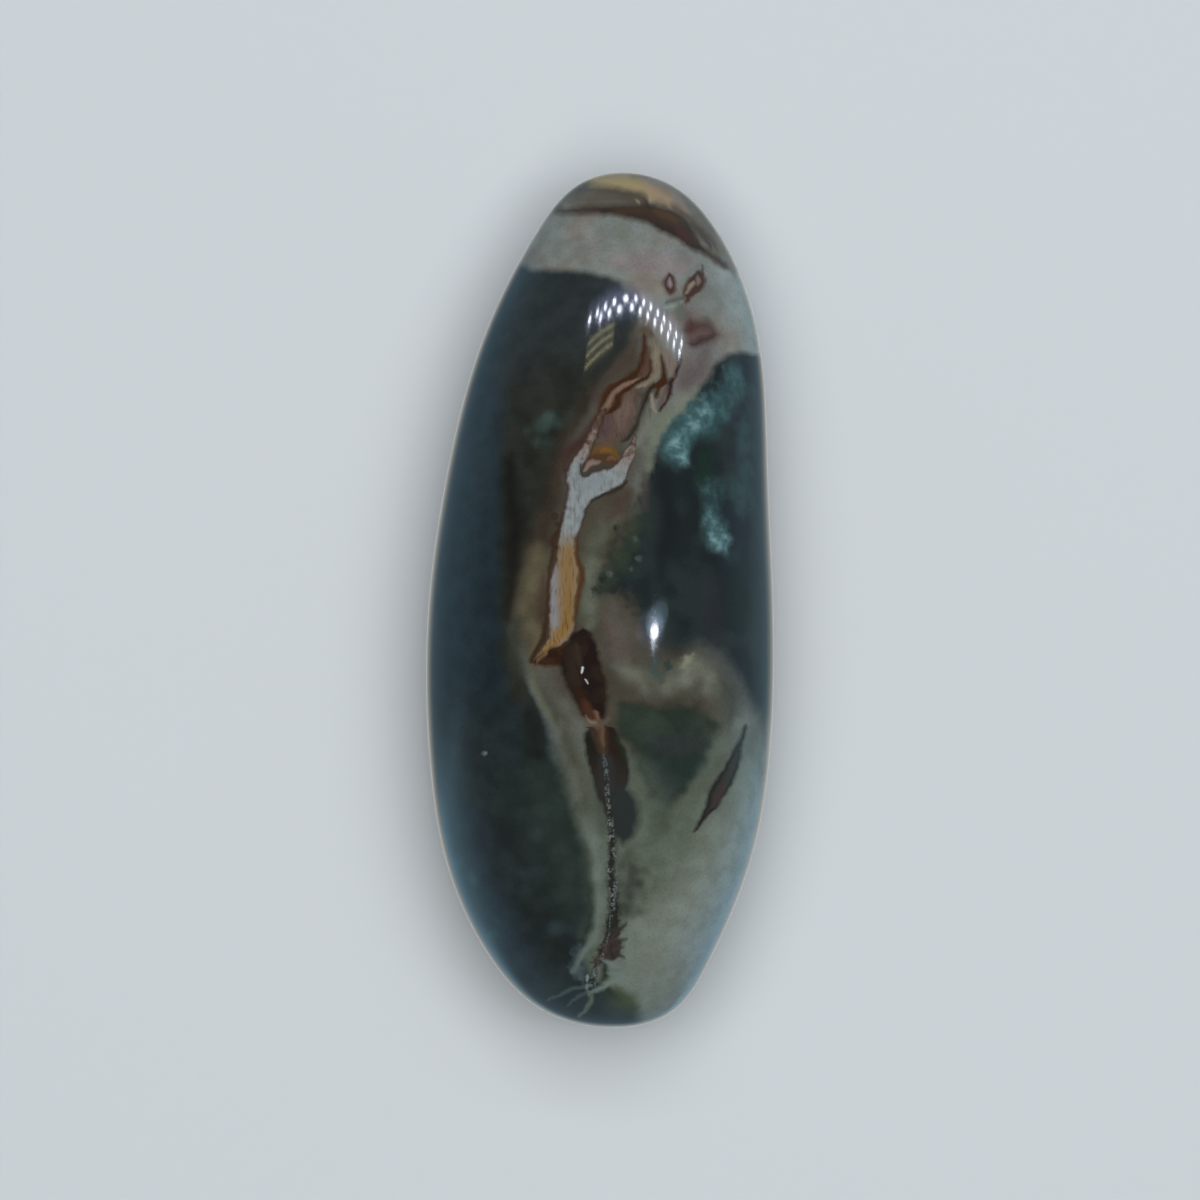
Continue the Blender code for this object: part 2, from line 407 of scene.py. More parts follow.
clear = band([(3, 15, 0.5), (1, 12, 1.2), (-0.8, 8.4, 1.4), (-1.6, 4, 1.4), (-2, 0, 1.4), (-2.2, -3.6, 0.9)])
pocket = band([(3.6, -11.6, 1), (8, -12.9, 2), (14, -12.6, 2.7), (18, -13.3, 2.3), (21.5, -14.6, 0.9)])
lay_each((grey,), (
    ("#4f5244", 1.4, 1.0, clear),
    ("#5b5e50", 1.4, 1.0, np.minimum(clear - 0.3, 9 * clouds)),
    ("#453a31", 0.9, 1.0, band([(5.4, 17.2, 0.6), (2.8, 14.9, 1.3), (0.6, 12.4, 0.6)])),
    ("#4e4a43", 3.0, 1.0, band([(2.2, -1.6, 1.6), (3.2, -5, 2.6), (3.6, -9.5, 2.2)])),
    ("#5a4f47", 1.6, 0.9, band([(1.2, -3.6, 0.6), (2.4, -7.2, 0.9), (4.4, -10, 0.5)])),
    ("#515247", 2.2, 1.0, pocket),
    ("#6a6b5f", 2.0, 1.0, np.minimum(pocket - 0.5, 9 * clouds)),
    ("#6e7164", 1.6, 0.9, patch(14.4, -10.2, 1.5)),
    ("#353a2f", 2.6, 0.8, band([(18.8, -14.2, 0.8), (21, -16.4, 1.8), (20.6, -19.4, 1.2)])),
))


# The green plume. A cap of mossy chlorite that rooted on the vein wall and grew towards the foot.

plume = band([(8.4, -17.4, 5.2), (8.8, -18.7, 5.9), (9.6, -20.3, 6.2), (11, -21.6, 6.8), (11.4, -23.2, 6.2),
    (11.6, -25, 5.2), (11.6, -26.8, 4.2), (11.4, -28.6, 3.4), (11.2, -30.6, 2.2)]) / 1.5
plume_top = beside([(0, -17, 0.9), (8, -17, 0.9), (13.4, -17.2, 0.9), (15.6, -19, 1), (18.4, -21, 1.2),
    (24, -23, 1.4)])
plume = np.minimum(plume, plume_top)
lay_each((grey,), (
    ("#262e26", 1.0, 1.0, plume + 0.3 + motes),
    ("#2e382e", 1.0, 1.0, np.minimum(plume - 0.3, 9 * clouds)),
    ("#343b33", 1.6, 0.8, np.minimum(plume, patch(16, -20.8, 1.8))),
    ("#303638", 1.8, 0.7, np.minimum(plume, band([(8, -22.4, 1), (13, -23.4, 1.6), (18, -23.6, 0.9)]))),
    ("#25312e", 1.6, 0.9, np.minimum(plume, -beside([(24, -25), (0, -26)]))),
    ("#23352f", 1.6, 0.8, patch(15.2, -26.4, 1.2)),
    ("#434a41", 2.6, 0.8, band([(7.4, -27, 1.4), (9.6, -31.5, 2.2), (10.2, -37, 1)])),
    ("#353a32", 1.4, 0.8, band([(-0.7, -29, 0.4), (-0.2, -33, 0.8), (0.4, -37, 0.4)])),
    # the stained ground between and beside the vein's strands
    ("#3c2823", 1.0, 1.0, band([(-0.4, 29.9, 0.3), (-1.4, 28.6, 0.6), (-2.3, 27.3, 0.8), (-3.2, 25.6, 0.9),
        (-4.4, 24, 1), (-5.3, 22.4, 0.8), (-5.6, 20.6, 0.4)])),
))
lay_each((grey, slate), (
    ("#40362d", 1.2, 1.0, band([(6, 42.5, 0.4), (5.2, 40, 0.7), (3.6, 37.6, 0.8), (1, 35.4, 0.7),
        (-1, 32.6, 0.7)])),
    ("#57473d", 1.0, 1.0, band([(5.3, 34.2, 0.9), (4.5, 32.6, 2), (3.8, 30.7, 2.5), (2.7, 28.7, 2.7),
        (1.7, 26.8, 2.3), (0.9, 25.2, 1.8)])),
    ("#65564d", 1.2, 1.0, band([(4.9, 32.6, 0.7), (4.4, 30.4, 1.1), (3.4, 28, 0.8)])),
    ("#4e3f3f", 0.9, 1.0, band([(1.9, 30.2, 0.5), (1.1, 28.7, 0.9), (0.4, 26.6, 0.8)])),
))

for name, laid_on in (
    ("grey", grey),
    ("slate", slate),
    ("teal", teal),
    ("moss", moss),
    ("edges", np.stack([slate_edge, teal_edge, teal_fray], axis=1)),
):
    attribute = mesh.attributes.new(name, "FLOAT_VECTOR", "POINT")
    attribute.data.foreach_set("vector", laid_on.ravel())


# How the masses are bound together. Each shows a faint grain and mottling of its own, and the edges of the
# two jaspers are frayed by the same growth. The fine minerals below are laid over them.

ROUGH_GREY = "#eae7e4"
ROUGH_SLATE = "#dfe1dc"
FINE_SHADE = "#f0f0ee"
SLATE_FRAY = 0.3         # how far motes fray the green jasper's edge, as a share of its blur
TOP_SIDE = (19, 25)      # heights in mm over which the fine minerals of the top come in, and
BACK_SIDE = (19, 13)     # those of the back


def add(kind, sockets, out=0, **settings):
    """Adds a node to the tree in hand, with its settings, and sets or links its inputs."""
    node = tree.nodes.new("ShaderNode" + kind)
    for name, setting in settings.items():
        setattr(node, name, setting)
    for socket, value in sockets.items():
        if isinstance(value, bpy.types.NodeSocket):
            tree.links.new(value, node.inputs[socket])
        else:
            node.inputs[socket].default_value = value
    return node.outputs[out]


def noisy(place, size, detail, rough=0.5, **settings):
    """Noise from about 0.3 to 0.7, one way over `size` mm."""
    return add("TexNoise", {"Vector": place, "Scale": 1 / size, "Detail": detail, "Roughness": rough},
        **settings)


def maths(operation, *values):
    """Does sums on shares or lengths."""
    return add("Math", dict(enumerate(values)), operation=operation)


def rising(pattern, low, high):
    """A share that rises from 0 to 1 while the pattern does from low to high."""
    return add("MapRange", {0: pattern, 1: low, 2: high}, interpolation_type="SMOOTHSTEP", clamp=False)


def cover(stone_so_far, mineral, share, **settings):
    """Covers the stone so far with a share of a mineral."""
    shades = [tint(shade) if isinstance(shade, str) else shade for shade in (stone_so_far, mineral)]
    return add("Mix", {0: share, 6: shades[0], 7: shades[1]}, 2, data_type="RGBA", **settings)


material = bpy.data.materials.new("polished_jasper")
material.use_nodes = True
tree = material.node_tree
shader = tree.nodes["Principled BSDF"]
mesh.materials.append(material)

object_place = add("TexCoord", {}, "Object")
in_mm = add("VectorMath", {0: object_place, "Scale": MM}, operation="SCALE")
height = add("SeparateXYZ", {0: in_mm}, 2)
dip = maths("SUBTRACT", DIP_FROM, height)
dip = maths("MAXIMUM", dip, 0.0)
dip = add("VectorMath", {0: (*DIP, 0.0), "Scale": dip}, operation="SCALE")
dipped = add("VectorMath", {0: in_mm, 1: dip}, operation="ADD")
elsewhere = add("VectorMath", {0: in_mm, 1: (50, 50, 50)}, operation="ADD")

# Fine edges wander by tenths of a mm. The fine veins stay in the top side, and the back has its own.
WANDER = 0.4
wandered = add("CombineXYZ", {0: noisy(in_mm, 1.4, 2.0, 0.45), 1: noisy(elsewhere, 1.4, 2.0, 0.45)})
wandered = add("VectorMath", {0: wandered, 1: (0.5, 0.5, 0.5)}, operation="SUBTRACT")
wandered = add("VectorMath", {0: wandered, 1: (2 * WANDER, 2 * WANDER, 0.0), 2: dipped},
    operation="MULTIPLY_ADD")
wandered = add("VectorMath", {0: wandered, 1: (1, 1, 0)}, operation="MULTIPLY")
fields = {
    "place": wandered,
    "x": add("SeparateXYZ", {0: wandered}, 0),
    "y": add("SeparateXYZ", {0: wandered}, 1),
    "blotch": noisy(in_mm, 3.2, 1.0),
    "mote": noisy(in_mm, 1.3, 2.0, 0.5),
    "grain": noisy(in_mm, 0.45, 1.0, 0.6),
    "top": rising(height, *TOP_SIDE),
    "back": rising(height, *BACK_SIDE),
}

masses = {}
for name in ("grey", "slate", "teal", "moss", "edges"):
    masses[name] = add("Attribute", {}, "Vector", attribute_name=name)
blotched = rising(fields["blotch"], 0.3, 0.7)
speckled = rising(fields["mote"], 0.36, 0.68)
jasper = cover(masses["grey"], ROUGH_GREY, blotched, blend_type="MULTIPLY")
slate_look = cover(masses["slate"], ROUGH_SLATE, blotched, blend_type="MULTIPLY")
teal_look = cover(masses["teal"], masses["moss"], speckled)
mote_off = maths("ADD", fields["mote"], -0.5)
slate_side, teal_side, teal_reach = (add("SeparateXYZ", {0: masses["edges"]}, axis) for axis in range(3))
for look, edge, fray in ((slate_look, slate_side, SLATE_FRAY), (teal_look, teal_side, teal_reach)):
    share = maths("MULTIPLY_ADD", edge, 0.5, 0.5)
    share = maths("MULTIPLY_ADD", mote_off, fray, share)
    jasper = cover(jasper, look, rising(share, 0.0, 1.0))
jasper = cover(jasper, FINE_SHADE, rising(fields["grain"], 0.4, 0.75), blend_type="MULTIPLY")
massive_stone = jasper
minerals = []


def mineral(name):
    """Opens a node group that lays one mineral over the stone so far, and names the fields it can read."""
    group = bpy.data.node_groups.new(name, "ShaderNodeTree")
    group.interface.new_socket("stone", in_out="INPUT", socket_type="NodeSocketColor")
    for field in fields:
        kind = "NodeSocketVector" if field == "place" else "NodeSocketFloat"
        group.interface.new_socket(field, in_out="INPUT", socket_type=kind)
    group.interface.new_socket("stone", in_out="OUTPUT", socket_type="NodeSocketColor")
    minerals.append(group)
    given = group.nodes.new("NodeGroupInput").outputs
    return group, SimpleNamespace(**{field: given[field] for field in ("stone", *fields)}, drawn={})


def laid(stone_so_far, where=None):
    """Closes the group in hand. `where` keeps its mineral to the top side or to the back."""
    if where is not None:
        stone_so_far = cover(at.stone, stone_so_far, where)
    tree.links.new(stone_so_far, tree.nodes.new("NodeGroupOutput").inputs["stone"])


def drawn(axis, blur):
    """The place along an axis, in units of the edge's full width."""
    if (axis, blur) not in at.drawn:
        at.drawn[axis, blur] = maths("MULTIPLY", (at.x, at.y)[axis], 1 / (2 * blur))
    return at.drawn[axis, blur]


def curve(along, stops):
    """A value read off a smooth curve through these stops: a place along it, and the value there."""
    value = add("FloatCurve", {"Value": along})
    mapping = value.node.mapping
    mapping.use_clip = False
    mapping.extend = "HORIZONTAL"
    points = mapping.curves[0].points
    for i, stop in enumerate(sorted(stops)):
        if i < 2:
            points[i].location = stop
        else:
            points.new(*stop)
    for point in points:
        point.handle_type = "AUTO_CLAMPED"
    mapping.update()
    return value


def main_axis(line):
    """The axis, 0 or 1, that most of a band's area runs along."""
    reach = [0.0, 0.0]
    for start, end in zip(line, line[1:]):
        for axis in range(2):
            reach[axis] += abs(end[axis] - start[axis]) * (end[-1] + start[-1])
    return int(reach[1] > reach[0])


def thread(line, blur, cap=None):
    """The share of a thin band over the stone. The line gives x, y and half the width.

    The ends are round, or reach `cap` mm past the last point.
    """
    axis = main_axis(line)
    spine, halves = stretched(line, Vector((1 - axis, axis)), cap)
    edge = 2 * blur
    middle = curve((at.x, at.y)[axis], [(spot[axis], spot[1 - axis] / edge) for spot in spine])
    half = curve((at.x, at.y)[axis], [(spot[axis], half / edge + 0.5) for spot, half in zip(spine, halves)])
    off = maths("SUBTRACT", drawn(1 - axis, blur), middle)
    off = maths("ABSOLUTE", off)
    return maths("SUBTRACT", half, off)


def side(line, blur):
    """The share of what lies past a line, to its larger x, or to its larger y where it runs along x."""
    axis = main_axis([(*point, 1.0) for point in line])
    middle = curve((at.x, at.y)[axis], [(point[axis], point[1 - axis] / (2 * blur) - 0.5) for point in line])
    return maths("SUBTRACT", drawn(1 - axis, blur), middle)


def speck(x, y, radius, blur):
    """The share of a round speck."""
    off = add("VectorMath", {0: at.place, 1: (x, y, 0.0)}, "Value", operation="DISTANCE")
    edge = 2 * blur
    return maths("MULTIPLY_ADD", off, -1 / edge, radius / edge + 0.5)


def frayed(share, pattern, reach):
    """A share whose edge is frayed in and out by a pattern, by about half of `reach` of its width."""
    fray = maths("MULTIPLY_ADD", pattern, reach, -reach / 2)
    return maths("ADD", share, fray)


def inlaid(stone_so_far, threads):
    """Covers the stone so far with thin bands, each given as shade, blur and line."""
    for shade, blur, line in threads:
        stone_so_far = cover(stone_so_far, shade, thread(line, blur))
    return stone_so_far


# The head cap. Ochre and dark olive-brown bands where iron stained the gel layer by layer.

tree, at = mineral("head_cap")
cap = side([(-16, 63.6), (-14, 63.5), (-8.6, 63.1), (-4.9, 62.6), (0, 62.5), (3.2, 62.1), (6.4, 61.4),
    (8.9, 60.6), (11.3, 59), (13.7, 57.5), (16.2, 55.9), (18.6, 54.4), (22, 52.9)], 0.5)
cap_tip = cover("#716e63", "#605b4e", rising(at.blotch, 0.36, 0.66))
cap_tip = inlaid(cap_tip, (
    ("#9a875a", 1.2, [(-0.7, 67.9, 0.5), (1.6, 68, 0.9), (4, 67.9, 1.1), (6.5, 67.2, 1.1), (8.1, 66.4, 1)]),
    ("#937c60", 1.3, [(7.3, 66.8, 0.8), (8.9, 66.2, 1.1), (10.5, 65.5, 1.1), (12.2, 64.6, 0.8),
        (13.6, 63.5, 0.5)]),
    ("#756b67", 0.8, [(12.4, 65.4, 0.4), (13.4, 64.1, 0.5)]),
    ("#4d4537", 1.2, [(-4.6, 64.8, 0.3), (-1.7, 65.2, 0.8), (2, 65.2, 1), (5.2, 64.9, 0.8),
        (7.4, 64.2, 0.5)]),
    ("#3b3122", 0.9, [(-4.4, 66.3, 0.3), (-1.3, 66.8, 0.4), (0.3, 66.7, 0.45), (2.4, 66.4, 0.5),
        (4.5, 65.8, 0.5), (6.5, 65.5, 0.5), (7.4, 64.8, 0.5), (7.9, 63.6, 0.5)]),
    ("#8d8875", 0.35, [(6, 64.7, 0.2), (6.3, 64.5, 0.2)]),
    ("#4d3d31", 0.7, [(11.7, 64.1, 0.3), (13, 63.2, 0.4), (14.3, 62.1, 0.4), (15.4, 61, 0.4),
        (16.5, 60, 0.4), (17.9, 58.7, 0.3), (19, 57.3, 0.2)]),
    ("#3c342b", 0.7, [(14.6, 60.9, 0.3), (15.7, 60.1, 0.4), (16.9, 59, 0.4), (18, 57.5, 0.3)]),
))
brown = cover("#31271e", "#3b2d22", rising(at.blotch, 0.4, 0.62))
brown = inlaid(brown, (
    ("#2d2620", 0.8, [(5, 62, 0.3), (9.2, 60.9, 0.5), (12.6, 58.9, 0.6), (16, 56.7, 0.5)]),
    ("#3f2822", 0.8, [(12, 60.6, 0.4), (13.4, 59.4, 0.7), (14.6, 58.5, 0.4)]),
    ("#4c3722", 0.8, [(8.9, 63.1, 0.3), (10.5, 62.6, 0.4), (12.1, 61.9, 0.3)]),
))
brown_band = thread([(-7.2, 63.3, 0.2), (-4.9, 63.3, 0.5), (-2.5, 63.4, 0.75), (0, 63.3, 0.85),
    (2.4, 63.3, 0.95), (4.8, 63, 1.3), (7.3, 62.9, 1.6), (9.4, 62.1, 1.95), (11.3, 61.3, 2.1),
    (13.3, 60.2, 1.85), (15, 58.5, 1.3), (16.6, 57, 0.6), (18.4, 55.6, 0.45), (20.5, 54.3, 0.4)], 0.6)
jasper = cover(at.stone, cap_tip, cap)
jasper = cover(jasper, brown, brown_band)
laid(jasper)


# Stray grains: quartz and chlorite specks in the moss below the teal jasper and in the brown pocket.

tree, at = mineral("stray_grains")
jasper = at.stone
for x, y, radius, blur, shade in (
    (1.6, 4.2, 0.3, 0.45, "#4e534a"),
    (6.2, 6.6, 0.25, 0.45, "#445048"),
    (5.6, 9.8, 0.2, 0.45, "#424c46"),
    (5.0, 5.0, 0.3, 0.35, "#404c42"),
    (0.4, 3.4, 0.45, 0.35, "#1b241d"),
    (-0.9, 1.6, 0.35, 0.35, "#222b22"),
    (2.6, 11.6, 0.5, 0.35, "#1d241c"),
    (-18.6, -24.6, 0.25, 0.3, "#68736f"),
    (13.9, -9.5, 0.5, 0.5, "#7c7c69"),
    (10.7, -10.2, 0.4, 0.4, "#262b27"),
):
    jasper = cover(jasper, shade, frayed(speck(x, y, radius, blur), at.grain, 1.0))
for shade, blur, line in (
    ("#354441", 0.9, [(9, -7.8, 0.1), (8.9, -9.6, 0.3), (9.1, -11.4, 0.5), (9.5, -12.6, 0.2)]),
    ("#2f3934", 0.5, [(10, -11.8, 0.1), (10.9, -10.8, 0.3), (10.8, -9.8, 0.15)]),
    ("#73755f", 0.6, [(13, -11, 0.1), (14, -9.8, 0.25), (15.1, -8.6, 0.15)]),
):
    jasper = cover(jasper, shade, frayed(thread(line, blur), at.mote, 2.4))
laid(jasper, at.top)


# The spear. A thin lens of limonite caught on edge in the clear chalcedony.

tree, at = mineral("spear")
spear = thread([(23.5, -20.3, 0.25), (23, -22.1, 0.4), (22.2, -24, 0.65), (21.8, -25.6, 0.9),
    (21, -27.2, 1.15), (20.3, -28.8, 1.3), (19.3, -30.4, 1.3), (18.4, -32, 1.15), (18, -33.2, 0.85),
    (17.3, -34.1, 0.7), (16.5, -35.2, 0.45), (15.7, -36.5, 0.3), (15.2, -37.2, 0.2)], 0.35)
spear_body = cover("#1f1b16", "#302e27", maths("ADD", spear, -1.0))
spear_body = inlaid(spear_body, (("#3b2c29", 0.4, [(20, -29.8, 0.2), (19.3, -31.2, 0.4), (18.7, -32.4, 0.35),
    (18.2, -33.3, 0.15)]),))
laid(cover(at.stone, spear_body, spear), at.top)


# The forked head of the vein. Iron-stained agate in strands, each with a dark skin of goethite.

RUST = "#38200f"
RUST_DARK = "#2b1e18"
CREAM = "#746a59"

tree, at = mineral("forked_strands")
fibres = add("VectorMath", {0: at.place, 1: (2.6, 0.5, 0)}, operation="MULTIPLY")
fibres = rising(noisy(fibres, 1.2, 1.0, noise_dimensions="2D"), 0.4, 0.8)
jasper = inlaid(at.stone, (
    # the fibrous ground between the strands
    ("#63655b", 0.8, [(9.1, 30, 0.5), (8.1, 29.1, 0.8), (7.3, 27.4, 0.8), (6.5, 26, 0.7), (5.9, 24.9, 0.4)]),
    ("#63604c", 0.6, [(8.8, 41.5, 0.5), (9.1, 40.4, 0.8), (9.4, 39.2, 0.5)]),
    # the left pair, parted by a tan core, with a brown knot at its head
    ("#4b4030", 0.5, [(6.3, 43.4, 0.4), (7.5, 43.4, 0.75), (8.3, 42.9, 0.5)]),
    ("#4f382b", 0.5, [(7.5, 40.7, 0.45), (7.5, 39.1, 0.6), (7.3, 37.5, 0.75), (6.6, 36.3, 0.5)]),
    (RUST, 0.35, [(7.2, 42.5, 0.35), (7.1, 40.9, 0.4), (6.9, 39.2, 0.4), (6.6, 37.8, 0.38),
        (5.9, 36.7, 0.42), (4.8, 35.7, 0.46), (3.5, 35, 0.5), (2.2, 34.2, 0.5), (1.2, 33.3, 0.5),
        (0.6, 32.1, 0.48), (0.3, 31, 0.42), (0, 30.2, 0.3)]),
    (RUST, 0.35, [(8.2, 38.6, 0.24), (8.2, 37.1, 0.34), (7.6, 36, 0.36), (6.4, 35.3, 0.36),
        (5.1, 34.5, 0.42), (4, 33.7, 0.5), (3, 32.8, 0.6), (2.7, 31.6, 0.66), (2.2, 30.7, 0.56),
        (1.4, 30, 0.26)]),
    ("#6f5a4b", 0.35, [(5.9, 35.6, 0.15), (4.6, 34.8, 0.3), (3.3, 34.1, 0.34), (2.2, 33.2, 0.4),
        (1.6, 32.1, 0.45), (1.1, 31, 0.42), (0.6, 30.2, 0.4)]),
    # the right strands
    (CREAM, 0.4, [(8.9, 40.6, 0.4), (9, 38.8, 0.5), (9.1, 37.3, 0.5), (8.6, 35.9, 0.45), (7.5, 34.9, 0.4),
        (6.5, 34.2, 0.3)]),
    (RUST_DARK, 0.3, [(12.8, 39.3, 0.2), (12.6, 37.8, 0.3), (12.3, 36.7, 0.34), (11.7, 35.7, 0.4),
        (11.2, 34.6, 0.4), (11.2, 33.4, 0.42), (10.9, 32.3, 0.32), (10.2, 31.3, 0.28), (9.6, 30.4, 0.2)]),
    (RUST, 0.35, [(9.9, 39.3, 0.2), (10.1, 37.8, 0.34), (10.4, 36.5, 0.46), (10.3, 35.4, 0.65),
        (9.4, 34.6, 0.7), (8.5, 34.1, 0.4)]),
    (RUST, 0.3, [(9.5, 34.6, 0.45), (9.3, 33.8, 0.38), (9.1, 32.5, 0.24)]),
    ("#6e6056", 0.35, [(10.2, 40.4, 0.3), (10.9, 39.3, 0.45), (11.4, 38, 0.42), (11.6, 36.7, 0.28),
        (11.7, 35.9, 0.15)]),
    ("#5a4540", 0.35, [(10.6, 34.2, 0.3), (10.4, 33.1, 0.34), (9.9, 32.1, 0.28), (9.4, 31.2, 0.2)]),
    ("#7b7466", 0.3, [(8.3, 33.1, 0.24), (8.3, 32, 0.32), (8.5, 31, 0.28), (8.8, 30.2, 0.2)]),
    ("#2b221b", 0.45, [(8.3, 34.2, 0.4), (7.6, 33.1, 0.5), (7.2, 32, 0.5), (6.7, 30.8, 0.44),
        (6.3, 29.5, 0.36), (5.9, 28.3, 0.34), (5.4, 27.1, 0.34), (4.7, 26.2, 0.36), (3.8, 25.5, 0.24)]),
    # the amber arch over the white vein, with the stained hollow under it
    ("#45301f", 0.5, [(-2.5, 22, 0.4), (-1.3, 22.9, 0.7), (0, 23, 0.9), (1.2, 22.7, 1), (2.2, 22.4, 0.9),
        (2.8, 22.1, 0.5)]),
    ("#5c421c", 0.5, [(-1.6, 23.6, 0.24), (-0.6, 24.2, 0.4), (1.2, 24.3, 0.5), (2.3, 23.8, 0.5),
        (3, 23, 0.3)]),
    ("#6b4a20", 0.3, [(0.2, 23.9, 0.2), (1, 24.2, 0.3), (1.8, 24, 0.2)]),
    ("#614636", 0.3, [(1.2, 22.6, 0.2), (1.9, 22.9, 0.3), (2.4, 22.6, 0.2)]),
))
hull = thread([(8.6, 42, 0.6), (9, 38, 3.2), (8, 35, 4), (5.5, 31, 4), (3.2, 27.6, 2.6), (2.2, 25.6, 0.8)],
    0.8, 0.4)
fibres = maths("MINIMUM", fibres, hull)
jasper = cover(jasper, "#e8e3de", fibres, blend_type="MULTIPLY")
laid(jasper, at.top)


# The white vein. Milky chalcedony that filled a crack, with a brown skin and amber along its heart.

tree, at = mineral("white_vein")
vein = None
for line in (
    # the trunk, then the left and the right arm
    [(-2.9, 18.4, 1.9), (-3.1, 17.2, 1.9), (-3.3, 16.2, 1.7), (-4, 14.6, 1.5), (-4.3, 13, 1.5),
        (-4.8, 11.4, 1.4), (-5.2, 9.8, 1.25), (-5.3, 8.2, 1.4), (-5.3, 6.6, 1.6), (-5.3, 5, 1.9),
        (-5.6, 3.4, 2.15), (-5.7, 1.8, 2.15), (-5.9, 0.2, 2.15), (-6, -1.4, 2), (-6.1, -3, 1.95),
        (-6.2, -4.6, 1.85), (-6.4, -5.8, 1.6), (-7.1, -6.7, 1.1), (-8.2, -7.8, 0.62), (-9.5, -9, 0.42),
        (-10.4, -9.8, 0.2)],
    [(0.7, 30.4, 0.25), (0, 29.4, 0.4), (-0.5, 28.3, 0.5), (-0.9, 27.3, 0.52), (-1.3, 26.2, 0.58),
        (-1.9, 24.9, 0.66), (-2.6, 23.6, 0.76), (-3.3, 22.3, 0.84), (-3.9, 21.4, 0.8), (-4.1, 20.2, 0.92),
        (-3.8, 18.6, 1.25)],
    [(5.7, 25.4, 0.3), (5.3, 24.1, 0.6), (4.6, 22.9, 0.85), (4, 21.6, 1), (3.2, 20.4, 1.25),
        (1.9, 19.4, 1.5), (0.3, 18.8, 1.8), (-1.3, 18.1, 1.9)],
):
    reach = thread(line, 0.25)
    vein = maths("MAXIMUM", vein, reach) if vein else reach
jasper = cover(at.stone, "#35251d", maths("ADD", vein, 0.6))
vein_white = cover("#7e8383", "#707473", rising(at.mote, 0.44, 0.66))
arms = side([(-14, 24), (-3, 22.8), (2, 22), (7, 20)], 1.6)
vein_white = cover(vein_white, "#786c64", arms)
vein_white = cover(vein_white, "#4c3b30", frayed(maths("ADD", arms, -0.9), at.mote, 5.0))
below = side([(-14, 9.4), (2, 10.2)], 1.6)
vein_white = cover(vein_white, "#766651", maths("SUBTRACT", 1.0, below))
vein_white = inlaid(vein_white, (
    ("#785f3b", 0.8, [(-5, 8.4, 0.6), (-5.2, 5.3, 1.1), (-5.1, 3.4, 1.2), (-5, 1.4, 1), (-5.2, -0.5, 0.6)]),
    ("#77777a", 0.6, [(-7.3, 5.4, 0.2), (-7.5, 2.6, 0.5), (-7.6, 0.2, 0.6), (-7.5, -2.2, 0.6),
        (-7.3, -4.3, 0.4)]),
    ("#5a4c30", 0.4, [(-3.9, 0.5, 0.16), (-4, -0.8, 0.32), (-4.1, -2.1, 0.32), (-4.4, -3.4, 0.16)]),
    ("#785b31", 0.6, [(-5.1, 1.4, 0.2), (-5.2, -0.6, 0.6), (-5.2, -2.4, 0.85), (-5.4, -3.7, 0.9),
        (-5.8, -4.8, 0.8), (-6.4, -5.8, 0.7)]),
    ("#7c6038", 0.4, [(-5.2, -5.4, 0.4), (-6.4, -5.9, 0.5), (-7.4, -6.7, 0.6), (-8.4, -7.7, 0.45),
        (-9.5, -8.8, 0.3)]),
))
fibres = add("VectorMath", {0: at.place, 1: (2.6, 0.4, 0)}, operation="MULTIPLY")
fibres = rising(noisy(fibres, 1.0, 1.0, noise_dimensions="2D"), 0.5, 0.85)
vein_white = cover(vein_white, "#c8c2bb", fibres, blend_type="MULTIPLY")
jasper = cover(jasper, vein_white, vein)
jasper = inlaid(jasper, (
    ("#452e18", 0.3, [(-4, 9.8, 0.2), (-3.8, 7.8, 0.25), (-3.5, 6.2, 0.36), (-3, 5, 0.48), (-2.8, 3.8, 0.48),
        (-3, 2.4, 0.4), (-3.3, 1, 0.32), (-3.6, -0.6, 0.24), (-3.7, -2.1, 0.16)]),
    ("#332314", 0.3, [(-5.8, 13.9, 0.16), (-6.5, 11.9, 0.18), (-6.9, 10.4, 0.24), (-7.3, 8.5, 0.3),
        (-7.7, 6.6, 0.32), (-8.1, 4.2, 0.24), (-8.4, 1.8, 0.2), (-8.5, -0.6, 0.24), (-8.6, -3, 0.32),
        (-8.9, -5, 0.46), (-9.3, -6.6, 0.52), (-10, -7.9, 0.46), (-10.7, -9.1, 0.4), (-11, -10.1, 0.26)]),
    ("#332314", 0.3, [(-6.8, 10.9, 0.3), (-7.5, 9.9, 0.36), (-7.7, 9, 0.36), (-7.2, 8.4, 0.3)]),
    ("#2a241c", 0.25, [(4.3, 19, 0.12), (3.2, 18, 0.25), (1.6, 17.2, 0.28), (0, 16.6, 0.25),
        (-1.4, 16, 0.2)]),
    ("#35332e", 0.25, [(-3.2, 21.3, 0.16), (-2.9, 20.4, 0.3), (-2.3, 19.9, 0.36), (-1.5, 20.5, 0.24),
        (-0.5, 21.2, 0.16), (0.8, 21.4, 0.14), (2, 21.3, 0.16)]),
    ("#74615a", 0.25, [(-2.6, 20.9, 0.2), (-1.9, 21.6, 0.4), (-1, 22.1, 0.4), (0, 22.1, 0.16)]),
    ("#747b7c", 0.7, [(-3.4, 18, 0.3), (-2.2, 18.3, 0.7), (-0.8, 18.9, 0.7), (1, 19.5, 0.4)]),
))
for x, y, radius in ((-7.2, 13.4, 0.6), (-6.9, 12.1, 0.5)):
    ring = speck(x, y, radius, 0.25)
    ring = maths("ADD", ring, -1.0)
    ring = maths("ABSOLUTE", ring)
    jasper = cover(jasper, "#2c2317", maths("SUBTRACT", 0.9, ring))
laid(jasper, at.top)


# The node and the pods. Dark glassy goethite that plugged the crack below the white vein.

POD = "#1c120e"

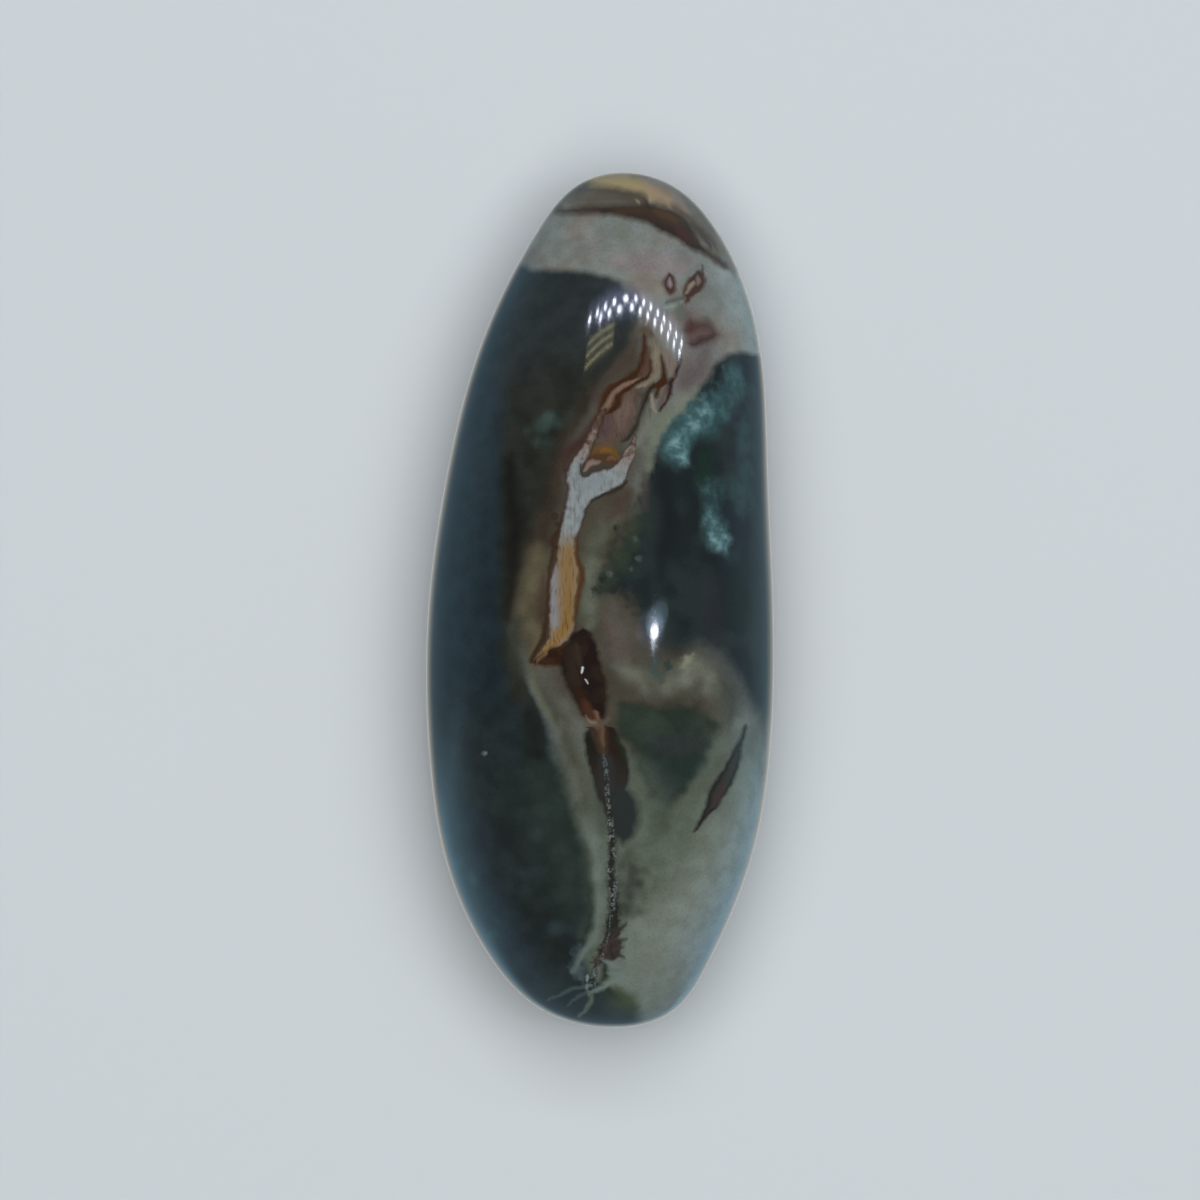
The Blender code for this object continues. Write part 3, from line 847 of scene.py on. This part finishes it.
tree, at = mineral("pods")
node = cover("#281609", "#33200f", rising(at.mote, 0.42, 0.62))
node = inlaid(node, (("#5f4935", 0.3, [(-10.1, -9.9, 0.2), (-9.5, -9.2, 0.2), (-8.6, -8.4, 0.3)]),))
triangle = thread([(-10.5, -10, 0.3), (-9.5, -9.6, 0.85), (-8.4, -9.3, 1.3), (-7.1, -9, 1.55),
    (-5.8, -8.8, 1.6), (-4.8, -8.5, 1.4)], 0.3)
jasper = cover(at.stone, node, triangle)
body = cover(POD, "#241a12", rising(at.blotch, 0.4, 0.6))
body = inlaid(body, (
    ("#352b1d", 0.5, [(-3.8, -7.2, 0.2), (-3.7, -8.6, 0.4), (-3.3, -10.2, 0.25)]),
    ("#2a2116", 0.8, [(-4.2, -7.8, 0.4), (-4.4, -9.4, 0.7), (-4.2, -11.4, 0.8), (-3.7, -13.3, 0.6)]),
    ("#2a1a0e", 0.8, [(-3.4, -14.4, 0.6), (-2.8, -16, 0.9), (-2.2, -17.6, 0.7)]),
    ("#402619", 0.5, [(-2.4, -16.2, 0.32), (-2, -17.3, 0.6), (-1.3, -18.2, 0.75), (-0.7, -18.9, 0.45)]),
    ("#69503f", 0.3, [(-0.8, -17.8, 0.14), (-0.5, -18.6, 0.22), (-0.2, -19.2, 0.22)]),
))
pod_high = thread([(-2.8, -4.9, 0.9), (-2.9, -5.4, 1.5), (-3, -6.4, 2.1), (-3.1, -7.9, 2.7), (-3.1, -9.4, 3),
    (-3, -11, 3.3), (-2.4, -12.6, 3.25), (-2, -14.2, 3), (-1.5, -15.8, 2.65), (-1.2, -17.4, 2.1),
    (-1, -18.9, 1.6)], 0.45, 0.5)
jasper = cover(jasper, body, frayed(pod_high, at.mote, 0.8))
low_body = side([(-4, -27), (6, -26)], 3.0)
body = cover("#28241f", "#1b1811", low_body)
body = inlaid(body, (
    ("#261812", 0.7, [(1.8, -21.5, 0.6), (2.1, -23.2, 0.9), (2, -25, 0.6)]),
    ("#1e2814", 0.4, [(2.7, -21.9, 0.16), (3.5, -23.5, 0.3), (4.1, -25.5, 0.2)]),
    ("#25241f", 0.9, [(1.2, -25.1, 0.8), (1.4, -26.7, 1.1), (1.6, -28.4, 1.1), (1.6, -30, 0.8)]),
    ("#2e2d2f", 1.2, [(0.6, -24.6, 0.2), (0.9, -26.6, 0.5), (1.1, -28.6, 0.6), (1.4, -31, 0.4)]),
    ("#463427", 0.9, [(-0.4, -20.2, 1.1), (-0.1, -21.5, 0.9), (0.2, -22.9, 0.6), (0.4, -24.4, 0.3)]),
    ("#5c4633", 0.3, [(0.5, -20.4, 0.25), (0.5, -21.8, 0.25), (0.6, -23.4, 0.15)]),
))
pod_low = thread([(0.3, -20.4, 2), (0.2, -21.5, 2.6), (0.6, -23.1, 3), (1, -24.7, 3.2), (1.4, -26.3, 3.2),
    (1.7, -27.9, 3), (1.7, -29.5, 2.7), (1.3, -30.6, 2), (1.2, -31.9, 1.4), (1.4, -33.5, 0.95),
    (1.6, -35.1, 0.56), (1.9, -36.7, 0.45), (2, -38.3, 0.35)], 0.35, 0.5)
jasper = cover(jasper, body, pod_low)
jasper = inlaid(jasper, (
    ("#242827", 0.9, [(3.7, -31, 1.6), (3.9, -32.5, 2.1), (3.9, -34.3, 2.4), (3.9, -36.2, 2.2),
        (3.8, -37.6, 1.7)]),
    ("#56463a", 0.5, [(-2.5, -19, 0.15), (-1.6, -19.4, 0.4), (-0.3, -19.9, 0.5), (0.8, -19.6, 0.3),
        (1.5, -19, 0.15)]),
    ("#6f5c50", 0.3, [(-2.3, -18.6, 0.1), (-1.7, -19.3, 0.24), (-0.7, -19.5, 0.2)]),
    ("#32251c", 0.3, [(-2, -20.3, 0.2), (-1, -20.7, 0.3), (-0.6, -21.8, 0.15)]),
    # two pale specks on the high pod: a painted highlight, the lamps' glints on its glassy face
    ("#c5c8c8", 0.16, [(-2.8, -10.7, 0.18), (-2.8, -11.7, 0.12)]),
    ("#a9acab", 0.14, [(-2.3, -12.6, 0.12), (-2, -13.3, 0.12)]),
))
laid(jasper, at.top)


# The healed crack. A hairline from the pods to the foot, dark with clay and set with tiny quartz points.

tree, at = mineral("healed_crack")
crack = thread([(0.6, -26.7, 0.16), (0.8, -28.7, 0.2), (1.2, -30.6, 0.24), (1.5, -32.7, 0.34),
    (1.8, -35.1, 0.42), (2, -37.5, 0.6), (2, -40, 0.65), (1.8, -42.4, 0.65), (1.9, -44.8, 0.65),
    (2.1, -47.2, 0.7), (2.2, -49.7, 0.9), (2, -52.1, 1.15), (1.9, -54, 1.1), (1.3, -55.8, 0.6),
    (-0.2, -58, 0.35), (-1, -60.5, 0.4), (-1.6, -63, 0.35), (-1.7, -64, 0.2)], 0.35)
jasper = cover(at.stone, "#23221d", frayed(crack, at.grain, 1.0))
clay = cover("#3a302c", "#292421", rising(at.mote, 0.45, 0.6))
jag = thread([(2.1, -53.4, 0.4), (2, -54.4, 0.9), (1.9, -55.4, 1.5), (1.4, -56.8, 1.8), (0.8, -58, 1.4),
    (-0.2, -58.6, 0.6)], 0.4)
jasper = cover(jasper, clay, frayed(jag, at.mote, 3.4))
for line in (
    [(2.6, -53.4, 0.5), (3.6, -52.7, 0.35), (4.3, -52, 0.1)],
    [(2.6, -55.2, 0.5), (3.6, -54.9, 0.3), (4.3, -54.6, 0.1)],
    [(2.4, -57, 0.5), (3.2, -57.3, 0.3), (3.9, -57.7, 0.1)],
):
    jasper = cover(jasper, "#302c27", thread(line, 0.4))
glassy = thread([(-3.2, -56.5, 0.6), (-3.4, -59, 1), (-2.8, -61.5, 0.7)], 0.9)
jasper = cover(jasper, "#3f4a4c", frayed(glassy, at.mote, 2.2))
jasper = inlaid(jasper, (
    ("#5c675f", 0.5, [(-0.6, -53.4, 0.4), (-1.3, -55.2, 0.5), (-2.6, -56.8, 0.5), (-3.6, -58.6, 0.3),
        (-4.4, -60.2, 0.15)]),
    ("#232a22", 0.5, [(0.6, -58.4, 0.2), (0.9, -60.2, 0.5), (0.4, -61.6, 0.3)]),
    ("#66716a", 0.4, [(0.6, -58.2, 0.15), (2, -58.8, 0.3), (3.8, -59.4, 0.2)]),
    ("#66716a", 0.4, [(1.2, -60.2, 0.1), (2.6, -60.4, 0.3), (4.2, -60.2, 0.2)]),
    ("#69746a", 0.4, [(-1.2, -63.3, 0.15), (0.6, -62.5, 0.35), (2.2, -61.5, 0.4), (3.8, -61, 0.3)]),
    ("#5d6855", 0.4, [(-1.3, -63.4, 0.12), (-1.5, -65, 0.2), (-2.4, -66.6, 0.2), (-3.4, -67.8, 0.08)]),
    ("#475551", 0.4, [(-1.6, -62.6, 0.08), (-4, -62.8, 0.14), (-6.4, -64, 0.12), (-8.4, -65, 0.05)]),
    ("#42504d", 0.4, [(-1.9, -63.4, 0.08), (-3.6, -64.3, 0.14), (-5.4, -65.9, 0.06)]),
    ("#8a9490", 0.2, [(-2, -60.5, 0.05), (-2.05, -61, 0.12), (-2.1, -61.5, 0.05)]),
    ("#7c8682", 0.2, [(-2.1, -62.2, 0.05), (-2.15, -62.6, 0.1), (-2.2, -63, 0.05)]),
    ("#66706c", 0.2, [(-0.9, -59.6, 0.05), (-1, -60.3, 0.1), (-1.05, -60.9, 0.05)]),
))
points = add("TexVoronoi", {"Vector": at.place, "Scale": 1 / 0.48}, "Distance", voronoi_dimensions="2D")
points = maths("MULTIPLY_ADD", points, -3.4, 1.9)
points = frayed(points, at.grain, 1.8)
broken = maths("MULTIPLY_ADD", at.mote, 8.0, -3.4)
beads = thread([(0.6, -24.6, 0.05), (0.9, -27, 0.2), (1.1, -30, 0.25), (1.5, -34, 0.3), (1.8, -38, 0.55),
    (1.8, -42.4, 0.75), (2.1, -46, 0.6), (1.9, -50, 0.25), (1.4, -54, 0.05), (0, -58.4, 0.3),
    (-1.4, -62.4, 0.5), (-1.8, -64, 0.2)], 0.25)
for share in (beads, broken):
    points = maths("MINIMUM", points, share)
jasper = cover(jasper, "#5f6763", points)
laid(jasper, at.top)


# The loops in the head and the maroon stain. Small closed bands of iron oxide round grains of chalcedony.

LOOP = "#40302a"

tree, at = mineral("loops")
jasper = inlaid(at.stone, (
    # the small ring, with its pink grain and the smear below
    ("#5d4d49", 0.6, [(10.8, 49.7, 0.3), (11.4, 49.8, 0.5), (12.1, 50.1, 0.3)]),
    (LOOP, 0.35, [(11.2, 52.3, 0.6), (11.2, 51.2, 1), (11.3, 50, 0.75)]),
    ("#85777a", 0.3, [(11.2, 51.9, 0.12), (11.25, 51.1, 0.3), (11.3, 50.5, 0.12)]),
    # the hooked band beside it
    ("#57473f", 0.5, [(13.9, 50.6, 0.4), (14, 49.8, 0.5), (14.1, 49.1, 0.4)]),
    (LOOP, 0.35, [(14, 48, 0.3), (14.2, 48.9, 0.6), (14.9, 49.9, 1.2), (15.4, 50.9, 1.5), (15.7, 51.9, 1.35),
        (15.9, 52.7, 0.7)]),
    (LOOP, 0.25, [(16.5, 52.4, 0.19), (16.5, 53.4, 0.14), (16.5, 54.3, 0.06)]),
    ("#6c6152", 0.3, [(16, 52, 0.22), (16.2, 51.5, 0.17)]),
    ("#7c7164", 0.3, [(14, 49.5, 0.15), (14.4, 50.1, 0.25), (14.7, 50.8, 0.4), (15, 51.4, 0.3)]),
    ("#6f655a", 0.3, [(15.8, 51, 0.15), (15.9, 51.8, 0.25), (15.8, 52.4, 0.1)]),
    # the green flaw under both: green chalcedony whose pale mint is partly a painted reflection of the
    # ceiling lamps
    ("#4a4c44", 0.35, [(10.6, 48, 0.15), (12, 48.3, 0.25), (13.4, 48.7, 0.2)]),
    ("#79877b", 0.5, [(10.6, 47.2, 0.15), (11.7, 47.4, 0.4), (13, 47.9, 0.25)]),
    ("#565e52", 0.5, [(12.7, 47.8, 0.4), (13, 46.6, 0.5), (12.9, 45.5, 0.35)]),
    # the maroon stain
    ("#4a3b36", 1.0, [(14, 43.4, 0.8), (14.8, 43.4, 1.35), (15.9, 43.6, 1.65), (17.1, 43.6, 1.8),
        (18, 43.3, 1.4)]),
    ("#432f2b", 0.7, [(14.6, 45, 0.32), (14.8, 44, 0.6), (14.6, 42.9, 0.45)]),
    ("#5a4947", 0.7, [(14.1, 42.4, 0.3), (15.4, 42.7, 0.46), (16.9, 43.1, 0.5), (17.7, 43.3, 0.3)]),
    ("#3a2c2c", 0.6, [(14.5, 41.4, 0.3), (15.1, 41.3, 0.5), (16.3, 41.8, 0.5), (17.4, 42.1, 0.4),
        (18.2, 42.6, 0.24)]),
))
laid(jasper, at.top)


# The back. The same layers cut lower down, with a vein of its own.

tree, at = mineral("back_vein")
back_vein = thread([(-14, 34, 0.2), (-8, 27, 0.9), (-3, 20, 1.3), (0, 10, 1), (4, 2, 1.6), (9, -6, 0.9),
    (12, -16, 0.3)], 0.35)
jasper = cover(at.stone, "#35231a", maths("ADD", back_vein, 0.9))
jasper = cover(jasper, cover("#6f6963", "#6f5739", rising(at.blotch, 0.42, 0.6)), back_vein)
back_pod = thread([(12, -15, 0.6), (13.5, -20, 2), (14, -26, 2.4), (13, -31, 1.2)], 0.4)
jasper = cover(jasper, cover(POD, "#34261b", rising(at.blotch, 0.4, 0.6)), back_pod)
laid(jasper, at.back)


# The polish. Tin oxide on felt: mirror bright, with faint unevenness.

SMOOTHEST = 0.045
ROUGHEST = 0.085
CHALCEDONY_IOR = 1.54

tree = material.node_tree
jasper = massive_stone
for group in minerals:
    jasper = add("Group", {"stone": jasper, **fields}, node_tree=group)
tree.links.new(jasper, shader.inputs["Base Color"])
unevenness = add("MapRange", {0: fields["grain"], 1: 0.45, 2: 0.7, 3: SMOOTHEST, 4: ROUGHEST})
tree.links.new(unevenness, shader.inputs["Roughness"])
shader.inputs["IOR"].default_value = CHALCEDONY_IOR


# The stage: a plain pale floor.

FLOOR_HALF = 4.0

bm = bmesh.new()
bmesh.ops.create_grid(bm, x_segments=1, y_segments=1, size=FLOOR_HALF)
floor_mesh = bpy.data.meshes.new("floor")
bm.to_mesh(floor_mesh)
bm.free()
floor = bpy.data.objects.new("floor", floor_mesh)
bpy.context.collection.objects.link(floor)
floor.visible_glossy = False
material = bpy.data.materials.new("matt_floor_paint")
material.use_nodes = True
tree = material.node_tree
floor_shader = tree.nodes["Principled BSDF"]
floor_shader.inputs["Base Color"].default_value = tint("#c3c7c8")
floor_shader.inputs["Roughness"].default_value = 0.8
floor_mesh.materials.append(material)


# Light. Two rows of small ceiling lamps past the head, a striped blind at their left end, a side lamp with
# its glow, a soft sheet overhead, and a dim blue room that is darker overhead than at its walls.

CEILING = 1.3
ROW_SIZE = 0.029
ROW_LIGHT = 42.0         # brightness of a lamp's face, as for all lamps here
ROW_GLOW = 0.95
ROW_STEP = 0.09          # from lamp to lamp, and
ROW_SPREAD = 0.04        # how much more for each metre to the right


def lamp(name, place, light_out, shade, size, tall=None, shape="DISK", turn=0.0):
    """A flat lamp facing the stone, turned by some degrees. `light_out` is the brightness of its face."""
    light = bpy.data.lights.new(name, "AREA")
    light.shape = shape
    light.size = size
    if tall is not None:
        light.size_y = tall
    area = size * (tall or size) * (1.0 if shape in ("SQUARE", "RECTANGLE") else math.pi / 4)
    light.energy = light_out * math.pi * area
    light.color = tint(shade)[:3]
    shown = bpy.data.objects.new(name, light)
    shown.location = place
    shown.rotation_euler = Vector(place).to_track_quat("Z", "Y").to_euler()
    shown.rotation_euler.rotate_axis("Z", math.radians(turn))
    bpy.context.collection.objects.link(shown)
    return shown


ROWS = ((-0.41, 0.84, 0.85, 0.21, 0.10), (-0.27, 0.72, 0.80, 0.22, 0.05))
for row, (x, last, far, bend, left_bend) in enumerate(ROWS):
    while x < last:
        y = far - bend * max(x, 0.0) + left_bend * min(x, 0.0)
        spot = f"{row}_{round(x * 1000)}"
        lamp(f"ceiling_lamp_{spot}", (x, y, CEILING), ROW_LIGHT, "#eef2ff", ROW_SIZE)
        lamp(f"ceiling_glow_{spot}", (x, y + 0.025, CEILING + 0.01), ROW_GLOW, "#a4b2f2", 0.12)
        x += ROW_STEP + ROW_SPREAD * max(x, 0.0)
for strip in range(3):
    lamp(f"blind_{strip}", (-0.25, 0.655 + 0.035 * strip, CEILING), 7.0, "#dad2a2", 0.26, 0.010, "RECTANGLE",
        -12)
lamp("side_lamp", (0.385, 0.004, CEILING), 31.0, "#f2f6ff", 0.032, 0.10, "ELLIPSE")
lamp("side_lamp_tail", (0.37, -0.018, CEILING), 8.0, "#d3e4f4", 0.040, 0.050, "ELLIPSE")
lamp("side_lamp_halo", (0.40, 0.014, CEILING + 0.01), 3.2, "#b9d6ee", 0.050, 0.21, "ELLIPSE")
lamp("side_glow", (0.43, 0.034, CEILING + 0.02), 1.9, "#9cc4d8", 0.066, 0.30, "ELLIPSE")
lamp("side_haze", (0.36, 0.010, CEILING + 0.03), 0.9, "#a8b6e8", 0.090, 0.36, "ELLIPSE")
sheet = lamp("overhead_sheet", (0.06, 0.06, 1.5), 4.3, "#ffffff", 1.4, 1.4, "RECTANGLE")
sheet.visible_glossy = False

world = bpy.data.worlds.new("studio")
bpy.context.scene.world = world
world.use_nodes = True
tree = world.node_tree
looking = add("TexCoord", {}, "Generated")
rise = add("SeparateXYZ", {0: looking}, 2)
headward = add("SeparateXYZ", {0: looking}, 1)
walls = cover("#86a2b4", "#4a5056", rising(rise, -0.1, 0.65))
windows = rising(rise, 0.3, -0.35)
for end in (rising(headward, -0.06, -0.17), rising(headward, -0.68, -0.42)):
    windows = maths("MINIMUM", windows, end)
walls = cover(walls, "#b2e4ff", windows)
walls = cover(walls, "#d2d2cc", rising(rise, -0.7, -0.98))
tree.links.new(walls, tree.nodes["Background"].inputs["Color"])
tree.nodes["Background"].inputs["Strength"].default_value = 1.0


# The camera, straight above the stone.

CAMERA_RISE = 0.9        # above the stone's widest line
WIDEST = 0.0204          # how high that line is
FRAME_SIDE = 0.1967      # what the square frame spans at the widest line

camera_data = bpy.data.cameras.new("camera")
camera_data.sensor_width = 36.0
camera_data.lens = camera_data.sensor_width * CAMERA_RISE / FRAME_SIDE
camera = bpy.data.objects.new("camera", camera_data)
camera.location = (0.0, 0.0, WIDEST + CAMERA_RISE)
bpy.context.collection.objects.link(camera)
bpy.context.scene.camera = camera
bpy.context.scene.view_settings.view_transform = "Standard"
